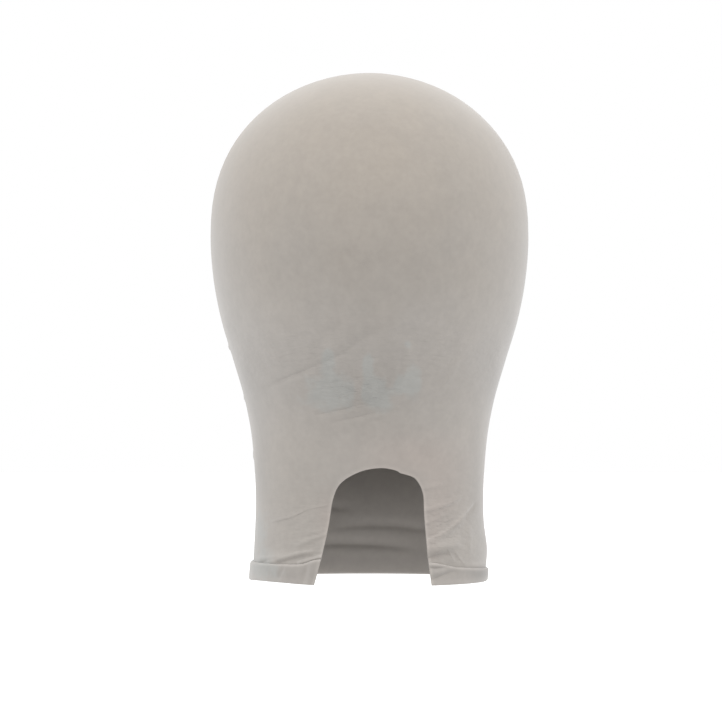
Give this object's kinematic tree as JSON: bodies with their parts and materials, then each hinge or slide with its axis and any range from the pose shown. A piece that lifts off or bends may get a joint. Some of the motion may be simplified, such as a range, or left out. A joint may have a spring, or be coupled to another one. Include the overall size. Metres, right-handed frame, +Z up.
{
  "type": "bald cap",
  "caption": "Seamless latex bald cap in its worn form: a bare dome narrowing to a long neck, with a turned-up cuff at the hem and an arch cut out of the front edge. Covers the hair.",
  "frame": {"origin": "inside of the crown, where the top of the head meets the cap", "axes": "+Z up out of the crown, -Y the side with the cut-out in its edge, +X to the right seen from that side"},
  "size_m": [0.164, 0.1988, 0.2615],
  "materials": {
    "latex": "matte powdered latex, pale warm grey"
  },
  "bodies": {
    "root": {"bald_cap": "latex"}
  },
  "joints": []
}
